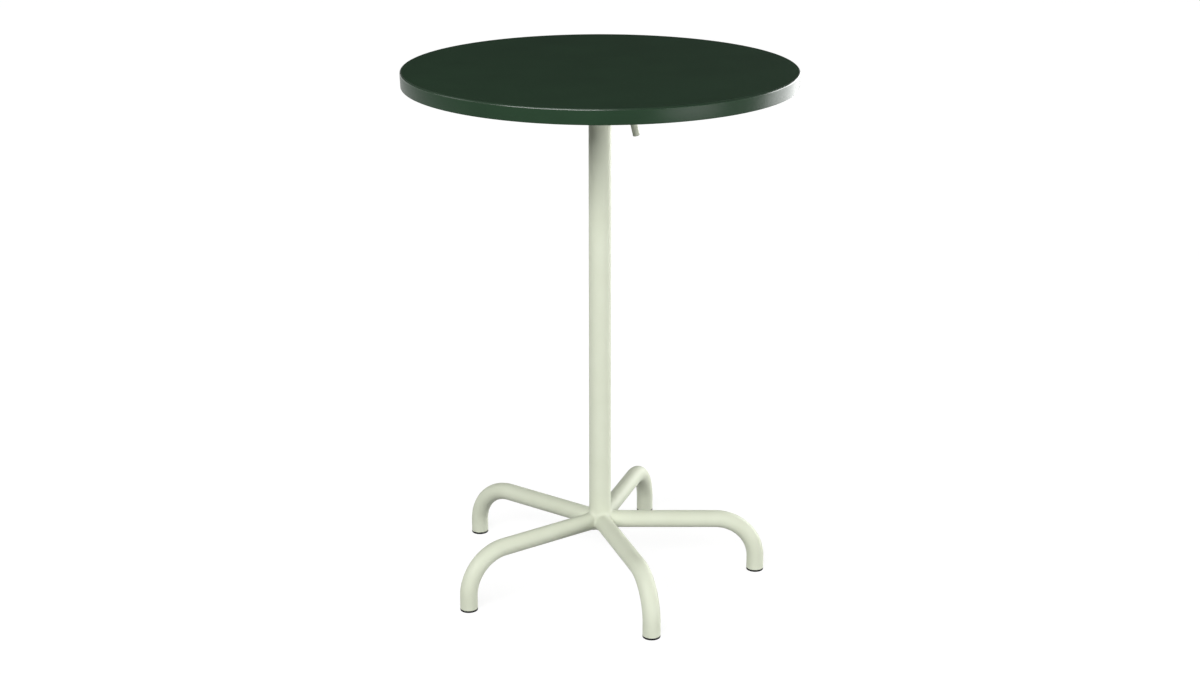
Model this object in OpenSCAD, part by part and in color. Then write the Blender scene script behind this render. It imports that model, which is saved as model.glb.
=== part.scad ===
// Round bar table on a five-legged tubular base. Its top tilts upright for storage.
// The origin is on the floor under the column, with +Z up. The first leg points along +X,
// which is also the side of the top that is lifted. The clamp lever is at the front, -Y.

/* [Table top] */
// Diameter of the top
top_d = 800; // [600:10:900]
// Height of the table's surface above the floor
table_h = 1100; // [1000:5:1200]
// Depth of the down-turned rim
rim_h = 30.3; // [24:0.1:40]
// How far the rim draws in from its upper to its lower edge
rim_draw = 1.1; // [0.5:0.1:2]
// Thickness of the moulded skin
skin_t = 5; // [4:0.5:6]
// Thickness of the rim's wall
rim_wall = 5; // [4:0.5:7]
// Radius of the rim's upper edge
edge_r = 3.5; // [2:0.5:5]
// Radius of the rim's two lower edges
lip_r = 0.8; // [0.4:0.1:1.6]
// Radius inside, where the rim meets the skin
root_r = 6; // [3:0.5:8]

/* [Ribs and bosses under the top] */
// Depth of the ribs below the skin
rib_depth = 8; // [5:0.5:10]
// Thickness of a rib at its root
rib_t = 4; // [3:0.5:6]
// How much thinner a rib is on each side at its tip
rib_draft = 0.6; // [0.2:0.1:1]
// Number of radial ribs
rib_count = 12; // [8:4:16]
// Diameter of the inner ring rib
inner_ring_d = 200; // [160:10:240]
// Diameter of the outer ring rib
outer_ring_d = 500; // [400:10:560]
// Distance of the rim's ring rib, where the radial ribs end, from the top's edge
rim_ring_inset = 30; // [24:1:60]
// Diameter of a screw boss where the rail lies on it
boss_d = 20; // [16:1:24]
// Distance of the inner screws from the middle, along the rail
screw_near = 104; // [90:1:120]
// Distance of the outer screws from the middle, along the rail
screw_far = 172; // [140:1:180]

/* [Column] */
// Outer diameter of the column
column_d = 46.5; // [40:0.5:50]
// Wall of the column's tube
column_wall = 3; // [2:0.5:4]
// Height of the column's lower end above the legs' underside
column_end_up = 2; // [0:0.5:6]

/* [Legs] */
// Outer diameter of a leg's tube
leg_d = 36.7; // [30:0.1:40]
// Wall of a leg's tube
leg_wall = 2.5; // [1.5:0.5:4]
// Diameter of the circle through the middles of the feet
foot_circle_d = 674; // [560:2:720]
// Height of a leg's axis where it leaves the column
leg_axis_h = 118.4; // [110:0.2:130]
// Radius of the leg's bend at its axis
bend_r = 88.5; // [75:0.5:100]

/* [Glides and plug] */
// Diameter of a glide's foot
glide_d = 36.7; // [28:0.1:37]
// Height of a glide's foot below the tube
glide_h = 4.5; // [2.5:0.5:6]
// Length of a glide's stem inside the tube
glide_stem = 20; // [12:1:24]
// Wall of a glide's stem and of the column plug
plug_wall = 2; // [1.5:0.5:3]
// Thickness of the column plug's end
plug_t = 2; // [1.5:0.5:3]
// Length of the column plug's stem
plug_stem = 18; // [10:1:30]

/* [Tilt hinge] */
// Distance of the hinge from the column's axis, towards -X
hinge_offset = 34; // [32:0.5:40]
// Depth of the hinge below the table's surface
hinge_drop = 52; // [50:0.5:54]
// Diameter of the hinge pin
pin_d = 10; // [8:0.5:12]
// Wall of the plastic bush
bush_wall = 2; // [1.5:0.5:3]
// Diameter of the bush's flange
bush_flange_d = 22; // [20:0.5:26]
// Thickness of the bush's flange and of the friction disc
flange_t = 1.5; // [1:0.1:2]
// Thickness of a circlip
clip_t = 1; // [0.8:0.1:1.2]
// Depth of a circlip's groove
clip_groove = 0.8; // [0.5:0.1:1]
// Radial width of a circlip
clip_w = 2; // [1.5:0.1:2.5]

/* [Clamp] */
// Distance of the clamp bolt from the column's axis, towards +X
clamp_offset = 56; // [54:0.5:60]
// Depth of the clamp bolt below the table's surface
clamp_drop = 55; // [54:0.5:57]
// Diameter of the clamp bolt
bolt_d = 10; // [8:0.5:11]
// Width of the bolt's hexagon across flats
hex_w = 17; // [15:0.5:19]
// Height of the bolt's head
bolt_head_h = 6.4; // [5:0.1:8]
// Height of the domed nut, with its dome
dome_nut_h = 12; // [11:0.5:15]
// Diameter of the clamp washers
clamp_washer_d = 30; // [24:0.5:32]
// Thickness of the clamp washers
clamp_washer_t = 2.5; // [2:0.5:4]
// Diameter of the friction discs
friction_disc_d = 28; // [22:0.5:30]
// Outer diameter of the distance tube between the cheeks
spacer_d = 16; // [14:0.5:18]
// Half width of the slot's mouth
slot_mouth = 9; // [8:0.5:11]

/* [Lever] */
// Diameter of the lever's rod
rod_d = 14; // [10:0.5:16]
// Distance from the clamp bolt to the rod's end
rod_reach = 74.5; // [60:0.5:90]
// Angle of the rod from straight down, towards +X
rod_lean = 13.2; // [0:0.1:20]
// Diameter of the lever's hub
hub_d = 26; // [22:0.5:28]
// Length of the lever's hub
hub_len = 22; // [18:0.5:26]

/* [Head bracket] */
// Thickness of the bracket's steel
bracket_t = 4; // [3:0.5:5]
// Width between the bracket's cheeks
cheek_gap = 48; // [46:1:56]
// Height of the hinge above the bracket's floor
floor_drop = 26; // [24:0.5:28]
// Radius of the cheek around the hinge
cheek_r = 16; // [15:0.5:18]
// Outer radius of the bracket's and rails' folds
fold_r = 6; // [5.5:0.5:8]
// Length of the tabs that carry the rest buffers
tab_len = 20; // [16:1:22]
// Width of the gap between the two tabs
tab_gap = 14; // [12:1:18]
// Middle of the rest buffers, from the column's axis
rest_x = 80; // [78:0.5:84]
// Depth of the stop flange's lower edge below the hinge
stop_flange_drop = 54; // [52:0.5:56]
// Width of the stop flange
stop_flange_w = 38; // [34:1:40]
// Depth of the gussets below the bracket
gusset_drop = 28; // [20:1:30]

/* [Buffers] */
// Diameter of a rubber buffer
buffer_d = 14; // [10:0.5:15]
// Diameter of a buffer's stem
buffer_stem_d = 6; // [4:0.5:7]
// Diameter of the barb behind a buffer's stem
buffer_barb_d = 8.5; // [8:0.5:10]
// Length of that barb
buffer_barb = 4; // [3:0.5:5]
// Distance of the stop buffers' axis below the hinge
stop_buffer_drop = 44; // [42:0.5:46]
// Distance between the two buffers of a pair
stop_buffer_pitch = 20; // [19:0.5:22]

/* [Rails under the top] */
// Length of a rail
rail_len = 380; // [360:2:400]
// Thickness of the rails and straps
rail_t = 4; // [3:0.5:5]
// Depth of the rail's upper face below the table's surface
rail_drop = 17; // [15:0.5:19]
// Width of the rail's flange
rail_flange = 36; // [32:1:42]
// Depth of the rail's web between its lugs
rail_web = 20; // [18:0.5:21]
// Depth of the rail's web at its ends
rail_end_web = 10; // [8:0.5:12]
// Radius of the hinge lug
hinge_lug_r = 14; // [12:0.5:16]
// Width of the clamp lug
clamp_lug_w = 36; // [32:1:40]
// Depth of the clamp lug below the clamp bolt
clamp_lug_drop = 12; // [9:0.5:14]
// Width of the cross straps
strap_w = 18; // [14:1:20]
// Depth of the cross straps' lower face below the table's surface
strap_drop = 28; // [26:0.5:29]

/* [Screws] */
// Diameter of the rail screws
screw_d = 6; // [5:0.5:6]
// Diameter of a screw's head
screw_head_d = 11; // [9:0.5:12]
// Height of a screw's head
screw_head_h = 3.6; // [3:0.1:5]
// Width of the hexagon socket in a screw's head
screw_socket_w = 4; // [3:0.5:5]
// Diameter of a screw's washer
screw_washer_d = 14; // [12:0.5:16]
// Thickness of a screw's washer
screw_washer_t = 1.6; // [1:0.1:2]
// Length of a threaded insert
insert_len = 10; // [8:0.5:10.5]
// Wall of a threaded insert
insert_wall = 1.5; // [1:0.25:2]

/* [Fits] */
// Radial clearance of a turning fit
running_fit = 0.05; // [0.02:0.01:0.1]
// Radial clearance of a bolt in its hole
bolt_fit = 0.25; // [0.1:0.05:0.5]
// Gap between flat faces that slide or rest on each other
side_gap = 0.3; // [0.2:0.05:0.5]

/* [Hidden] */
$fn = 96;
leg_count = 5;
leg_names = [for (i = [1:leg_count]) str("leg_", i)];
glide_names = [for (i = [1:leg_count]) str("foot_glide_", i)];
base_names = ["column", "column_plug", "head_bracket", "head_gussets"];
hinge_names = ["hinge_bushes", "hinge_pin", "pin_circlips"];
clamp_names = ["clamp_bolt", "clamp_spacer", "friction_discs", "clamp_washers", "dome_nut"];
buffer_names = ["rest_buffers", "stop_buffers"];
lever_names = ["lever_hub", "lever_rod"];
rail_names = ["rail_front", "rail_back", "rest_strap", "stop_strap"];
top_names = ["table_top", "threaded_inserts", "rail_screws", "screw_washers"];

painted_base = "#D7DCC8";
painted_top = "#26362B";
zinc = "#B8BABC";
brass = "#B08D45";
black_plastic = "#1C1C1E";
nylon = "#E9E6DC";
black_rubber = "#232323";

overlap = 1;
barely = 0.01;
top_r = top_d / 2;
column_r = column_d / 2;
leg_r = leg_d / 2;
foot_r = foot_circle_d / 2;
leg_step = 360 / leg_count;
leg_underside = leg_axis_h - leg_r;
column_end = leg_underside + column_end_up;
skin_z = table_h - skin_t;
rail_z = table_h - rail_drop;
strap_z = table_h - strap_drop;
hinge_x = -hinge_offset;
hinge_z = table_h - hinge_drop;
clamp_x = clamp_offset;
clamp_z = table_h - clamp_drop;
floor_z = hinge_z - floor_drop;
column_top = floor_z - bracket_t;
cheek_in = cheek_gap / 2;
cheek_out = cheek_in + bracket_t;
cheek_top = hinge_z + cheek_r;
lug_in = cheek_out + flange_t + side_gap;
lug_out = lug_in + rail_t;
clamp_washer_in = lug_out + side_gap;
clamp_washer_out = clamp_washer_in + clamp_washer_t;
hub_in = clamp_washer_out + side_gap;
hub_out = hub_in + hub_len;
bracket_back = hinge_x - cheek_r;
bracket_front = rest_x + tab_len / 2 + 2;
buffer_h = strap_z - cheek_top - side_gap;
stop_face = hinge_x - (strap_z - hinge_z) + side_gap;
flange_face = stop_face + buffer_h;
rail_depth = rail_z - clamp_z + clamp_lug_drop;
screw_row = lug_in + rail_flange / 2;
screw_spots = [for (x = [-screw_far, -screw_near, screw_near, screw_far])
    for (y = [-screw_row, screw_row]) [x, y]];

// A point of the outline p moved towards the point q by the length d
function towards(p, q, d) = p + (q - p) * d / norm(q - p);

// The arc that rounds the corner p between its neighbours a and b to the radius r
function corner_arc(a, p, b, r, steps = 8) =
    let (
        u = (a - p) / norm(a - p),
        v = (b - p) / norm(b - p),
        half = acos(u * v) / 2,
        c = p + (u + v) / norm(u + v) * r / sin(half),
        p0 = towards(p, a, r / tan(half)) - c,
        p1 = towards(p, b, r / tan(half)) - c,
        a0 = atan2(p0[1], p0[0]),
        turn = atan2(p0[0] * p1[1] - p0[1] * p1[0], p0 * p1)
    )
    r == 0 ? [p] : [for (i = [0:steps]) c + r * [cos(a0 + turn * i / steps), sin(a0 + turn * i / steps)]];

// An outline whose corners [x, y, radius] are rounded
function rounded(corners) =
    let (n = len(corners), p = [for (c = corners) [c[0], c[1]]])
    [for (i = [0:n - 1]) each corner_arc(p[(i + n - 1) % n], p[i], p[(i + 1) % n], corners[i][2])];

// A shape drawn in X and Z, given the thickness t from y towards +Y
module plate_xz(y, t) {
    translate([0, y + t, 0])
        rotate([90, 0, 0])
            linear_extrude(height = t)
                children();
}

// A shape drawn in Y and Z, run from x along +X
module run_along_x(x, length) {
    translate([x, 0, 0])
        rotate([90, 0, 90])
            linear_extrude(height = length)
                children();
}

// A cylinder along Y with its axis at x and z, between two values of y
module round_bar_y(x, z, y0, y1, r) {
    translate([x, y1, z])
        rotate([90, 0, 0])
            cylinder(h = y1 - y0, r = r);
}

// The same shape at the front, -Y, and at the back, +Y
module both_sides() {
    children();
    mirror([0, 1, 0])
        children();
}

// Half section of the moulding: skin and rim, with rounded edge, lip and inner root
module top_section() {
    rim_z = table_h - rim_h;
    rim_r = top_r - rim_draw;
    inner_r = top_r - rim_wall - rim_draw * skin_t / rim_h;
    polygon(rounded([
        [0, table_h, 0], [top_r, table_h, edge_r], [rim_r, rim_z, lip_r],
        [rim_r - rim_wall, rim_z, lip_r], [inner_r, skin_z, root_r], [0, skin_z, 0]]));
}

// Cross section of a rib, with its root sunk into the skin
module rib_section() {
    polygon([[-rib_t / 2, skin_z + overlap], [rib_t / 2, skin_z + overlap], [rib_t / 2, skin_z],
        [rib_t / 2 - rib_draft, skin_z - rib_depth], [-rib_t / 2 + rib_draft, skin_z - rib_depth],
        [-rib_t / 2, skin_z]]);
}

module ring_rib(d) {
    rotate_extrude()
        translate([d / 2, 0])
            rib_section();
}

module radial_ribs() {
    start = inner_ring_d / 2;
    for (i = [0:rib_count - 1])
        rotate([0, 0, (i + 0.5) * 360 / rib_count])
            run_along_x(start, top_r - rim_ring_inset - start)
                rib_section();
}

module bosses() {
    draft = 1;
    height = skin_z - rail_z + overlap;
    for (s = screw_spots)
        translate([s[0], s[1], rail_z])
            cylinder(h = height, r1 = boss_d / 2, r2 = boss_d / 2 + draft);
}

module insert_holes() {
    end_gap = 1;
    for (s = screw_spots)
        translate([s[0], s[1], rail_z - overlap])
            cylinder(h = overlap + insert_len + end_gap, r = screw_d / 2 + insert_wall);
}

// One glass-fibre moulding, open below, with a fine rib grid and eight screw bosses
module table_top() {
    color(painted_top)
        difference() {
            union() {
                rotate_extrude()
                    top_section();
                ring_rib(inner_ring_d);
                ring_rib(outer_ring_d);
                ring_rib(top_d - 2 * rim_ring_inset);
                radial_ribs();
                bosses();
            }
            insert_holes();
        }
}

// Brass inserts moulded into the bosses, flush with their ends
module threaded_inserts() {
    color(brass)
        for (s = screw_spots)
            translate([s[0], s[1], rail_z])
                difference() {
                    cylinder(h = insert_len, r = screw_d / 2 + insert_wall);
                    translate([0, 0, -overlap])
                        cylinder(h = insert_len + 2 * overlap, r = screw_d / 2);
                }
}

// Socket screws from below, with a chamfered head and an end just short of the insert's
module rail_screws() {
    chamfer = 1;
    end_gap = 1;
    socket_depth = 0.7 * screw_head_h;
    length = screw_head_h + screw_washer_t + rail_t + insert_len - end_gap;
    head_z = rail_z - rail_t - screw_washer_t - screw_head_h;
    color(zinc)
        for (s = screw_spots)
            translate([s[0], s[1], head_z])
                difference() {
                    union() {
                        cylinder(h = chamfer, r1 = screw_head_d / 2 - chamfer, r2 = screw_head_d / 2);
                        translate([0, 0, chamfer])
                            cylinder(h = screw_head_h - chamfer, r = screw_head_d / 2);
                        cylinder(h = length, r = screw_d / 2);
                    }
                    translate([0, 0, -overlap])
                        cylinder(h = socket_depth + overlap, d = screw_socket_w / cos(30), $fn = 6);
                }
}

module screw_washers() {
    color(zinc)
        for (s = screw_spots)
            translate([s[0], s[1], rail_z - rail_t - screw_washer_t])
                difference() {
                    cylinder(h = screw_washer_t, r = screw_washer_d / 2);
                    translate([0, 0, -overlap])
                        cylinder(h = screw_washer_t + 2 * overlap, r = screw_d / 2 + bolt_fit);
                }
}

// The rail's side view: a shallow web with tapered ends, a round lug at the hinge and a
// square one at the clamp
module rail_outline() {
    half = rail_len / 2;
    web_z = rail_z - rail_web;
    lug_x0 = clamp_x - clamp_lug_w / 2;
    lug_x1 = clamp_x + clamp_lug_w / 2;
    lug_z = clamp_z - clamp_lug_drop;
    round_r = hinge_lug_r - barely;
    taper = 40;
    bend = 20;
    end_r = 3;
    corner_r = 5;
    step = 8;
    polygon(rounded([
        [-half, rail_z, 0], [half, rail_z, 0], [half, rail_z - rail_end_web, end_r],
        [half - taper, web_z, bend], [lug_x1 + step, web_z, step], [lug_x1, web_z - step, step],
        [lug_x1, lug_z, corner_r], [lug_x0, lug_z, corner_r],
        [lug_x0, web_z - step, step], [lug_x0 - step, web_z, step],
        [hinge_x + hinge_lug_r + step, web_z, corner_r], [hinge_x + hinge_lug_r, web_z - step, corner_r],
        [hinge_x + hinge_lug_r, hinge_z - hinge_lug_r, round_r],
        [hinge_x - hinge_lug_r, hinge_z - hinge_lug_r, round_r],
        [hinge_x - hinge_lug_r, web_z - step, corner_r], [hinge_x - hinge_lug_r - step, web_z, corner_r],
        [-half + taper, web_z, bend], [-half, rail_z - rail_end_web, end_r]]));
}

// The folded angle of the rear rail: web at its inner side, flange on top
module rail_section() {
    depth = rail_depth + overlap;
    inner_r = fold_r - rail_t;
    difference() {
        union() {
            translate([lug_in + fold_r, rail_z - depth])
                square([rail_flange - fold_r, depth]);
            translate([lug_in, rail_z - depth])
                square([fold_r, depth - fold_r]);
            translate([lug_in + fold_r, rail_z - fold_r])
                circle(r = fold_r);
        }
        translate([lug_out + inner_r, rail_z - depth - overlap])
            square([rail_flange, depth - rail_t + overlap]);
        translate([lug_out, rail_z - depth - overlap])
            square([inner_r + barely, depth - fold_r + overlap]);
        translate([lug_in + fold_r, rail_z - fold_r])
            circle(r = inner_r);
    }
}

// The open slot that drops over the clamp bolt, flared so that it clears the bolt's arc
module clamp_slot() {
    r = bolt_d / 2 + bolt_fit;
    below = clamp_lug_drop + overlap;
    translate([clamp_x, clamp_z])
        circle(r = r);
    polygon([[clamp_x - r, clamp_z], [clamp_x - slot_mouth, clamp_z - below],
        [clamp_x + slot_mouth, clamp_z - below], [clamp_x + r, clamp_z]]);
}

module rail_back_shape() {
    half = rail_len / 2;
    corner_r = 10;
    difference() {
        intersection() {
            run_along_x(-half, rail_len)
                rail_section();
            plate_xz(lug_in, rail_flange)
                rail_outline();
            translate([0, 0, rail_z - rail_depth - overlap])
                linear_extrude(height = rail_depth + 2 * overlap)
                    polygon(rounded([[-half, lug_in - overlap, 0], [half, lug_in - overlap, 0],
                        [half, lug_in + rail_flange, corner_r], [-half, lug_in + rail_flange, corner_r]]));
        }
        round_bar_y(hinge_x, hinge_z, lug_in - overlap, lug_out + overlap, pin_d / 2 + running_fit);
        plate_xz(lug_in - overlap, rail_t + 2 * overlap)
            clamp_slot();
        for (s = screw_spots)
            translate([s[0], s[1], rail_z - rail_t - overlap])
                cylinder(h = rail_t + 2 * overlap, r = screw_d / 2 + bolt_fit);
    }
}

module rail_back() {
    color(painted_base)
        rail_back_shape();
}

module rail_front() {
    color(painted_base)
        mirror([0, 1, 0])
            rail_back_shape();
}

// A flat strap welded between the rails, with its middle at x
module strap(x) {
    color(painted_base)
        translate([x - strap_w / 2, -lug_in, strap_z])
            cube([strap_w, 2 * lug_in, rail_t]);
}

// The strap that comes down on the rest buffers
module rest_strap() {
    strap(rest_x);
}

// The strap that meets the stop buffers when the top stands upright
module stop_strap() {
    strap(hinge_x - stop_buffer_drop);
}

// A plain pin with a circlip groove near each end
module hinge_pin() {
    groove = lug_out + side_gap;
    past_clip = 2;
    end = groove + clip_t + past_clip;
    color(zinc)
        difference() {
            round_bar_y(hinge_x, hinge_z, -end, end, pin_d / 2);
            both_sides()
                difference() {
                    round_bar_y(hinge_x, hinge_z, groove, groove + clip_t, pin_d / 2 + overlap);
                    round_bar_y(hinge_x, hinge_z, groove - overlap, groove + clip_t + overlap,
                        pin_d / 2 - clip_groove);
                }
        }
}

// An open ring in each groove of the pin
module pin_circlips() {
    groove = lug_out + side_gap;
    opening = 0.6 * pin_d;
    color(zinc)
        both_sides()
            difference() {
                round_bar_y(hinge_x, hinge_z, groove, groove + clip_t, pin_d / 2 - clip_groove + clip_w);
                round_bar_y(hinge_x, hinge_z, groove - overlap, groove + clip_t + overlap,
                    pin_d / 2 - clip_groove);
                translate([hinge_x - opening / 2, groove - overlap, hinge_z - pin_d])
                    cube([opening, clip_t + 2 * overlap, pin_d]);
            }
}

// A flanged plastic bush pressed into each cheek
module hinge_bushes() {
    color(nylon)
        both_sides()
            difference() {
                union() {
                    round_bar_y(hinge_x, hinge_z, cheek_in, cheek_out, pin_d / 2 + bush_wall);
                    round_bar_y(hinge_x, hinge_z, cheek_out, cheek_out + flange_t, bush_flange_d / 2);
                }
                round_bar_y(hinge_x, hinge_z, cheek_in - overlap, lug_in, pin_d / 2 + running_fit);
            }
}

// A ring on the clamp bolt, between two values of y
module ring_on_bolt(y0, y1, r) {
    difference() {
        round_bar_y(clamp_x, clamp_z, y0, y1, r);
        round_bar_y(clamp_x, clamp_z, y0 - overlap, y1 + overlap, bolt_d / 2 + bolt_fit);
    }
}

module friction_discs() {
    color(zinc)
        both_sides()
            ring_on_bolt(cheek_out, cheek_out + flange_t, friction_disc_d / 2);
}

module clamp_washers() {
    color(zinc)
        both_sides()
            ring_on_bolt(clamp_washer_in, clamp_washer_out, clamp_washer_d / 2);
}

module clamp_spacer() {
    color(zinc)
        ring_on_bolt(-cheek_in, cheek_in, spacer_d / 2);
}

// Hexagon-headed bolt, with its head at the back and its end inside the domed nut
module clamp_bolt() {
    color(zinc) {
        translate([clamp_x, clamp_washer_out + bolt_head_h, clamp_z])
            rotate([90, 0, 0])
                cylinder(h = bolt_head_h, d = hex_w / cos(30), $fn = 6);
        round_bar_y(clamp_x, clamp_z, -hub_out - side_gap - dome_nut_h / 2, clamp_washer_out + overlap,
            bolt_d / 2);
    }
}

// The nut that keeps the lever on the bolt
module dome_nut() {
    dome_wall = 2;
    inner = hub_out + side_gap;
    dome_r = bolt_d / 2 + dome_wall;
    flat_h = dome_nut_h - dome_r;
    color(zinc)
        difference() {
            union() {
                translate([clamp_x, -inner, clamp_z])
                    rotate([90, 0, 0])
                        cylinder(h = flat_h, d = hex_w / cos(30), $fn = 6);
                translate([clamp_x, -inner - flat_h, clamp_z])
                    intersection() {
                        sphere(r = dome_r);
                        translate([-dome_r, -dome_r, -dome_r])
                            cube([2 * dome_r, dome_r + overlap, 2 * dome_r]);
                    }
            }
            round_bar_y(clamp_x, clamp_z, -inner - dome_nut_h / 2, -inner + overlap, bolt_d / 2);
        }
}

module lever_hub() {
    chamfer = 1;
    bore_r = bolt_d / 2 + running_fit;
    color(painted_base)
        translate([clamp_x, -hub_in, clamp_z])
            rotate([90, 0, 0])
                rotate_extrude()
                    polygon([[bore_r, 0], [hub_d / 2 - chamfer, 0], [hub_d / 2, chamfer],
                        [hub_d / 2, hub_len - chamfer], [hub_d / 2 - chamfer, hub_len], [bore_r, hub_len]]);
}

// A round rod, coped onto the hub and cut square at its end
module lever_rod() {
    chamfer = 0.8;
    color(painted_base)
        difference() {
            translate([clamp_x, -hub_in - hub_len / 2, clamp_z])
                rotate([0, 180 - rod_lean, 0])
                    rotate_extrude()
                        polygon([[0, 0], [rod_d / 2, 0], [rod_d / 2, rod_reach - chamfer],
                            [rod_d / 2 - chamfer, rod_reach], [0, rod_reach]]);
            round_bar_y(clamp_x, clamp_z, -hub_out - overlap, -hub_in + overlap, hub_d / 2);
        }
}

// Side view of the cheek: round at the hinge, tapered up towards the rest tabs
module cheek_outline() {
    end_depth = 24;
    floor_end = clamp_x + 4;
    corner_r = 4;
    bend = 12;
    polygon(rounded([
        [bracket_back, column_top, corner_r], [floor_end, column_top, bend],
        [bracket_front, cheek_top - end_depth, corner_r], [bracket_front, cheek_top, 0],
        [bracket_back, cheek_top, cheek_r - barely]]));
}

// Folded section: floor and cheeks, with inward lips on top where lips is true
module channel_section(lips) {
    open_top = lips ? 0 : 2 * fold_r;
    difference() {
        rounded_box(cheek_out, column_top, cheek_top + open_top, fold_r);
        rounded_box(cheek_in, floor_z, cheek_top - bracket_t + 2 * open_top, fold_r - bracket_t);
        if (lips)
            translate([-tab_gap / 2, floor_z])
                square([tab_gap, cheek_top]);
    }
}

// A box about the middle line with rounded corners, in Y and Z
module rounded_box(half, z0, z1, r) {
    translate([-half + r, z0])
        square([2 * (half - r), z1 - z0]);
    translate([-half, z0 + r])
        square([2 * half, z1 - z0 - 2 * r]);
    for (y = [-half + r, half - r])
        for (z = [z0 + r, z1 - r])
            translate([y, z])
                circle(r = r);
}

// The folded flange that carries the stop buffers
module stop_flange() {
    edge = 1;
    bottom = hinge_z - stop_flange_drop;
    plate_xz(-stop_flange_w / 2, stop_flange_w)
        polygon(rounded([[flange_face, bottom, edge], [flange_face + bracket_t, bottom, edge],
            [flange_face + bracket_t, column_top, fold_r - bracket_t],
            [0, column_top, 0], [0, floor_z, 0], [flange_face, floor_z, fold_r]]));
}

// One folded steel bracket, welded on the column's end
module head_bracket() {
    tab_x0 = rest_x - tab_len / 2;
    color(painted_base)
        difference() {
            union() {
                intersection() {
                    run_along_x(bracket_back, bracket_front - bracket_back)
                        channel_section(false);
                    plate_xz(-cheek_out, 2 * cheek_out)
                        cheek_outline();
                }
                intersection() {
                    run_along_x(tab_x0, tab_len)
                        channel_section(true);
                    translate([tab_x0, -cheek_out, cheek_top - 2 * fold_r])
                        cube([tab_len, 2 * cheek_out, 2 * fold_r]);
                }
                stop_flange();
            }
            bracket_holes();
        }
}

module bracket_holes() {
    round_bar_y(hinge_x, hinge_z, -cheek_out - overlap, cheek_out + overlap, pin_d / 2 + bush_wall);
    round_bar_y(clamp_x, clamp_z, -cheek_out - overlap, cheek_out + overlap, bolt_d / 2 + bolt_fit);
    at_rest_buffers()
        translate([0, 0, -bracket_t - overlap])
            cylinder(h = bracket_t + 2 * overlap, r = buffer_stem_d / 2);
    at_stop_buffers()
        translate([0, 0, -bracket_t - overlap])
            cylinder(h = bracket_t + 2 * overlap, r = buffer_stem_d / 2);
}

// Triangular plates under the bracket, coped to the column
module head_gussets() {
    tip = column_top - gusset_drop;
    back_tip = tip + 4;
    back = flange_face + bracket_t;
    toe = 8;
    color(painted_base)
        difference() {
            plate_xz(-bracket_t / 2, bracket_t) {
                polygon([[0, column_top], [0, tip], [column_r + toe, tip], [clamp_x, column_top - toe],
                    [clamp_x, column_top]]);
                polygon([[0, column_top], [0, back_tip], [back, back_tip], [back, column_top - fold_r],
                    [flange_face + fold_r, column_top]]);
            }
            translate([0, 0, tip - overlap])
                cylinder(h = gusset_drop + 2 * overlap, r = column_r);
        }
}

// A push-in rubber buffer standing on z = 0, with its stem through the steel below
module buffer() {
    edge = 1;
    tip_r = buffer_stem_d / 2 - edge / 2;
    tip_z = -bracket_t - buffer_barb;
    rotate_extrude()
        polygon([[0, tip_z], [tip_r, tip_z],
            [buffer_barb_d / 2, -bracket_t - edge], [buffer_barb_d / 2, -bracket_t],
            [buffer_stem_d / 2, -bracket_t], [buffer_stem_d / 2, 0], [buffer_d / 2, 0],
            [buffer_d / 2, buffer_h - edge], [buffer_d / 2 - edge, buffer_h], [0, buffer_h]]);
}

// The places of the rest buffers, on top of the tabs
module at_rest_buffers() {
    outward = 1;
    row = (tab_gap / 2 + cheek_out - fold_r) / 2 + outward;
    for (y = [-row, row])
        translate([rest_x, y, cheek_top])
            children();
}

// The places of the stop buffers, on the flange's outer face
module at_stop_buffers() {
    for (y = [-stop_buffer_pitch / 2, stop_buffer_pitch / 2])
        translate([flange_face, y, hinge_z - stop_buffer_drop])
            rotate([0, -90, 0])
                children();
}

module rest_buffers() {
    color(black_rubber)
        at_rest_buffers()
            buffer();
}

module stop_buffers() {
    color(black_rubber)
        at_stop_buffers()
            buffer();
}

module column() {
    length = column_top - column_end;
    color(painted_base)
        translate([0, 0, column_end])
            difference() {
                cylinder(h = length, r = column_r);
                translate([0, 0, -overlap])
                    cylinder(h = length + 2 * overlap, r = column_r - column_wall);
            }
}

// A plastic plug pressed into the column's lower end, flush with the tube
module column_plug() {
    bore_r = column_r - column_wall;
    color(black_plastic)
        translate([0, 0, column_end])
            difference() {
                cylinder(h = plug_t + plug_stem, r = bore_r);
                translate([0, 0, plug_t])
                    cylinder(h = plug_stem + overlap, r = bore_r - plug_wall);
            }
}

// The bent bar along a leg's axis, on +X: out level, round the bend and down
module leg_bar(r) {
    run = foot_r - bend_r;
    translate([0, 0, leg_axis_h])
        rotate([0, 90, 0])
            cylinder(h = run, r = r);
    translate([run, 0, leg_axis_h - bend_r])
        rotate([90, 0, 0])
            rotate_extrude(angle = 90)
                translate([bend_r, 0])
                    circle(r = r);
    translate([foot_r, 0, glide_h])
        cylinder(h = leg_axis_h - bend_r - glide_h, r = r);
}

// The bore runs a little past both ends of the bar
module leg_bore() {
    r = leg_r - leg_wall;
    leg_bar(r);
    translate([foot_r, 0, glide_h - overlap])
        cylinder(h = 2 * overlap, r = r);
}

// A leg of bent tube, coped to the column and mitred to its neighbours
module leg(i) {
    far = foot_r + leg_d;
    half = leg_step / 2;
    color(painted_base)
        rotate([0, 0, leg_step * (i - 1)])
            intersection() {
                difference() {
                    leg_bar(leg_r);
                    leg_bore();
                    translate([0, 0, leg_underside - overlap])
                        cylinder(h = leg_d + 2 * overlap, r = column_r);
                }
                linear_extrude(height = leg_axis_h + leg_d)
                    polygon([[0, 0], [far, -far * tan(half)], [far, far * tan(half)]]);
            }
}

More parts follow.
